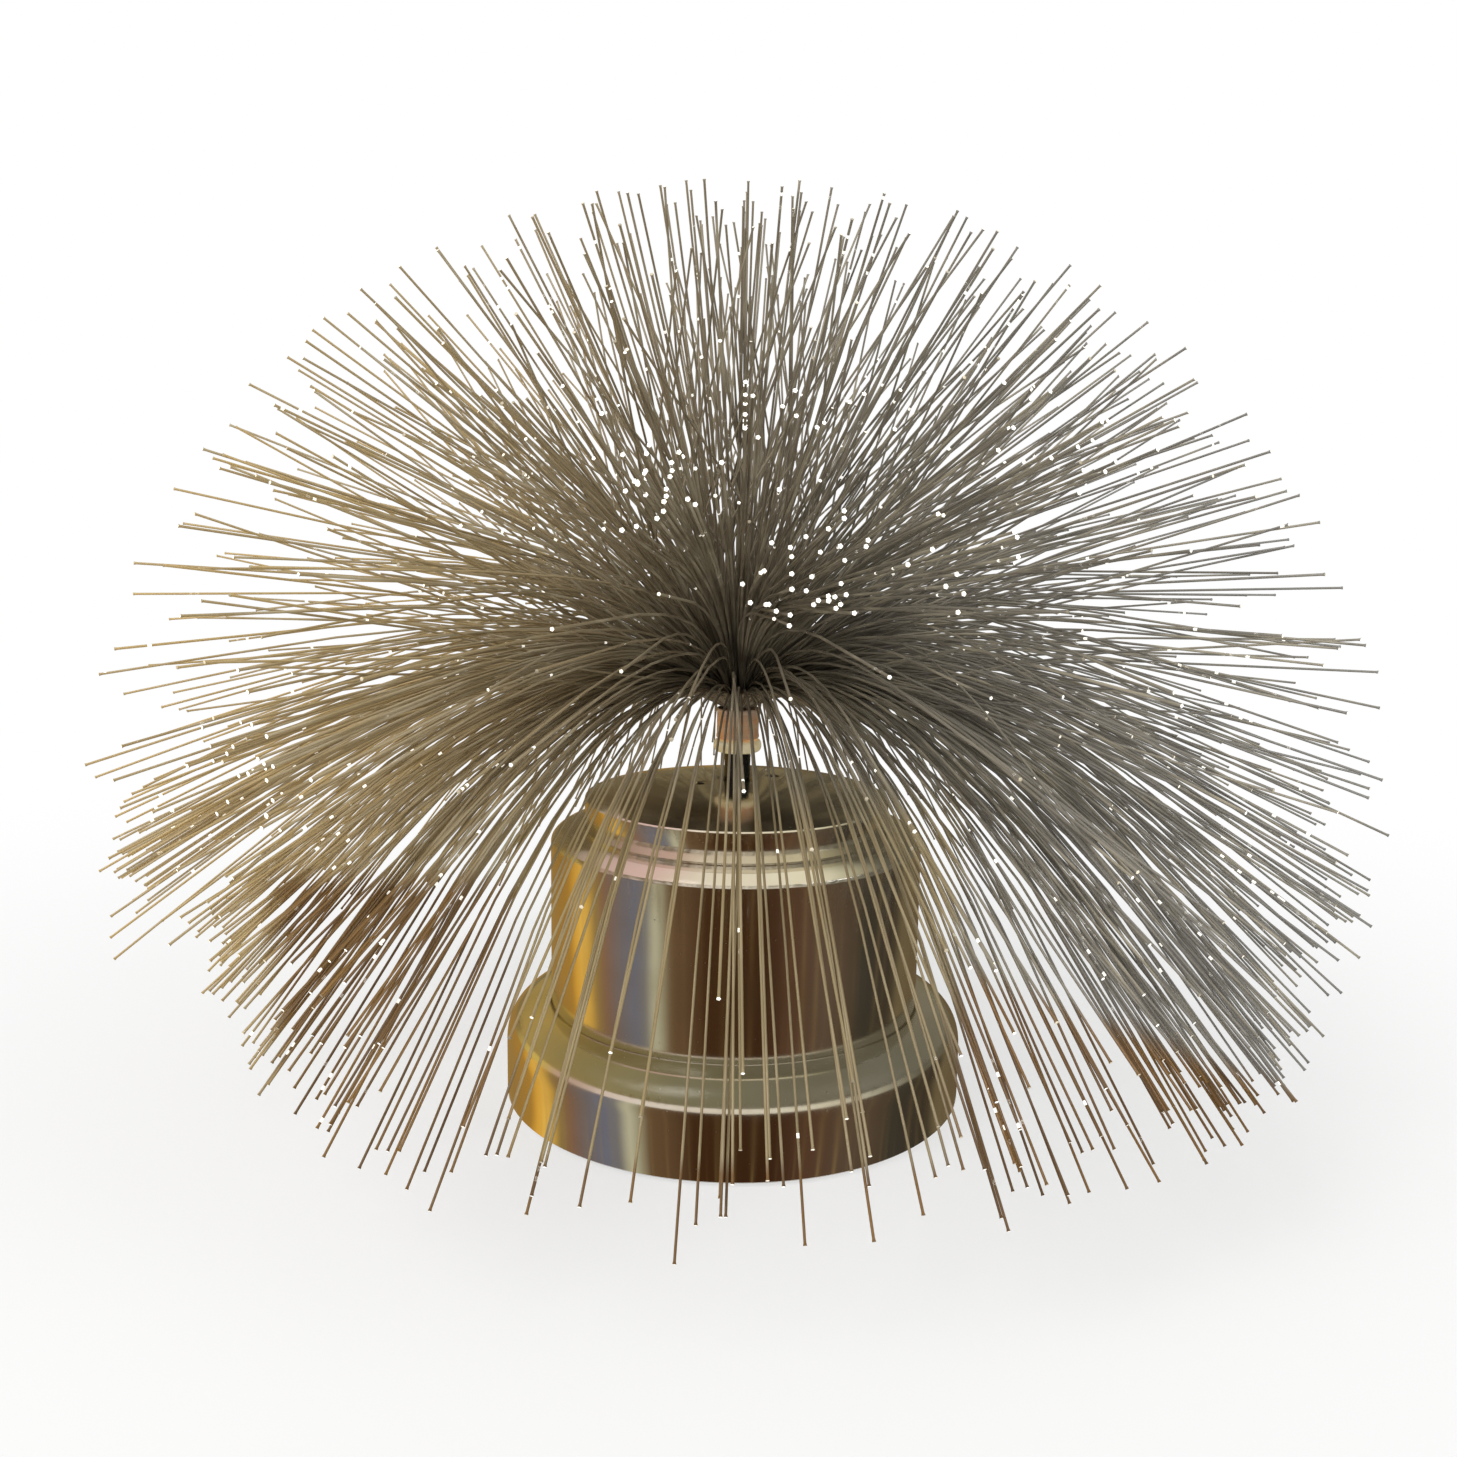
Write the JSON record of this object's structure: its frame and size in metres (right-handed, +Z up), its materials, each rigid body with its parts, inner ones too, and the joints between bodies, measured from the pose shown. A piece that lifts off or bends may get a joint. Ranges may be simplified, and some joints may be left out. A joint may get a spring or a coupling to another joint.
{
  "type": "fiber optic lamp",
  "caption": "Stepped chrome base with a domed cap, a black stem and a drooping spray of clear optical fibres, battery bay and slide switch underneath.",
  "frame": {"origin": "on the table under the lamp's axis, at the lower faces of the rubber pads", "axes": "+Z up along the stem, +X to the right and -Y towards the viewer of the picture; the battery door's hinge and the switch lie towards -Y"},
  "size_m": [0.262, 0.262, 0.1928],
  "materials": {
    "chrome": "vacuum-metallised chrome on moulded plastic, mirror bright",
    "matte_black": "fine-textured black moulding",
    "rubber": "matt rubber",
    "steel": "zinc-plated steel",
    "dark_steel": "blackened steel",
    "cell": "printed jacket without lettering, bare metal ends",
    "white_plastic": "white moulding",
    "black_plastic": "glossy black",
    "cream_plastic": "glossy cream",
    "copper": "polished copper colour",
    "board": "green circuit board",
    "led_red": "clear tinted resin",
    "led_green": "clear tinted resin",
    "led_blue": "clear tinted resin",
    "fibre": "clear acrylic fibre, tan in reflected light",
    "wire_red": "red sleeve",
    "wire_yellow": "yellow sleeve",
    "wire_black": "black sleeve"
  },
  "bodies": {
    "base": {"foot_shell": "chrome", "body_shell": "chrome", "top_cap": "chrome", "base_plate": "matte_black", "foot_pad_1": "rubber", "foot_pad_2": "rubber", "foot_pad_3": "rubber", "foot_pad_4": "rubber", "base_screw_1": "steel", "base_screw_2": "steel", "base_screw_3": "steel", "battery_tray": "matte_black", "tray_screw_1": "steel", "tray_screw_2": "steel", "cell_1": "cell", "cell_2": "cell", "cell_3": "cell", "contact_plate_1": "steel", "contact_plate_2": "steel", "contact_plate_3": "steel", "contact_spring_1": "steel", "contact_spring_2": "steel", "contact_spring_3": "steel", "hinge_pin": "steel", "switch_housing": "steel", "switch_screw_1": "steel", "switch_screw_2": "steel", "lamp_holder": "white_plastic", "cap_screw_1": "dark_steel", "cap_screw_2": "dark_steel", "light_cup": "white_plastic", "led_board": "board", "board_screw_1": "steel", "board_screw_2": "steel", "flasher_chip": "black_plastic", "led_red": "led_red", "led_green": "led_green", "led_blue": "led_blue", "supply_wire": "wire_red", "switched_wire": "wire_yellow", "return_wire": "wire_black"},
    "spray": {"stem": "black_plastic", "seat_ring": "cream_plastic", "ferrule": "copper", "fibre_tail": "fibre", "fibre_spray_1": "fibre", "fibre_spray_2": "fibre", "fibre_spray_3": "fibre", "fibre_spray_4": "fibre"},
    "slider": {"switch_slider": "white_plastic"},
    "door": {"battery_door": "matte_black", "door_screw": "steel"}
  },
  "joints": [
    {"name": "spray_turn", "type": "hinge", "parent": "base", "child": "spray", "pos_m": [0, 0, 0.08], "axis": [0, 0, 1], "continuous": true},
    {"name": "switch_slide", "type": "slide", "parent": "base", "child": "slider", "axis": [1, 0, 0], "range_m": [0, 0.003]},
    {"name": "door_hinge", "type": "hinge", "parent": "base", "child": "door", "pos_m": [0, -0.0243, 0.0023], "axis": [-1, 0, 0], "range_deg": [0, 80]}
  ]
}
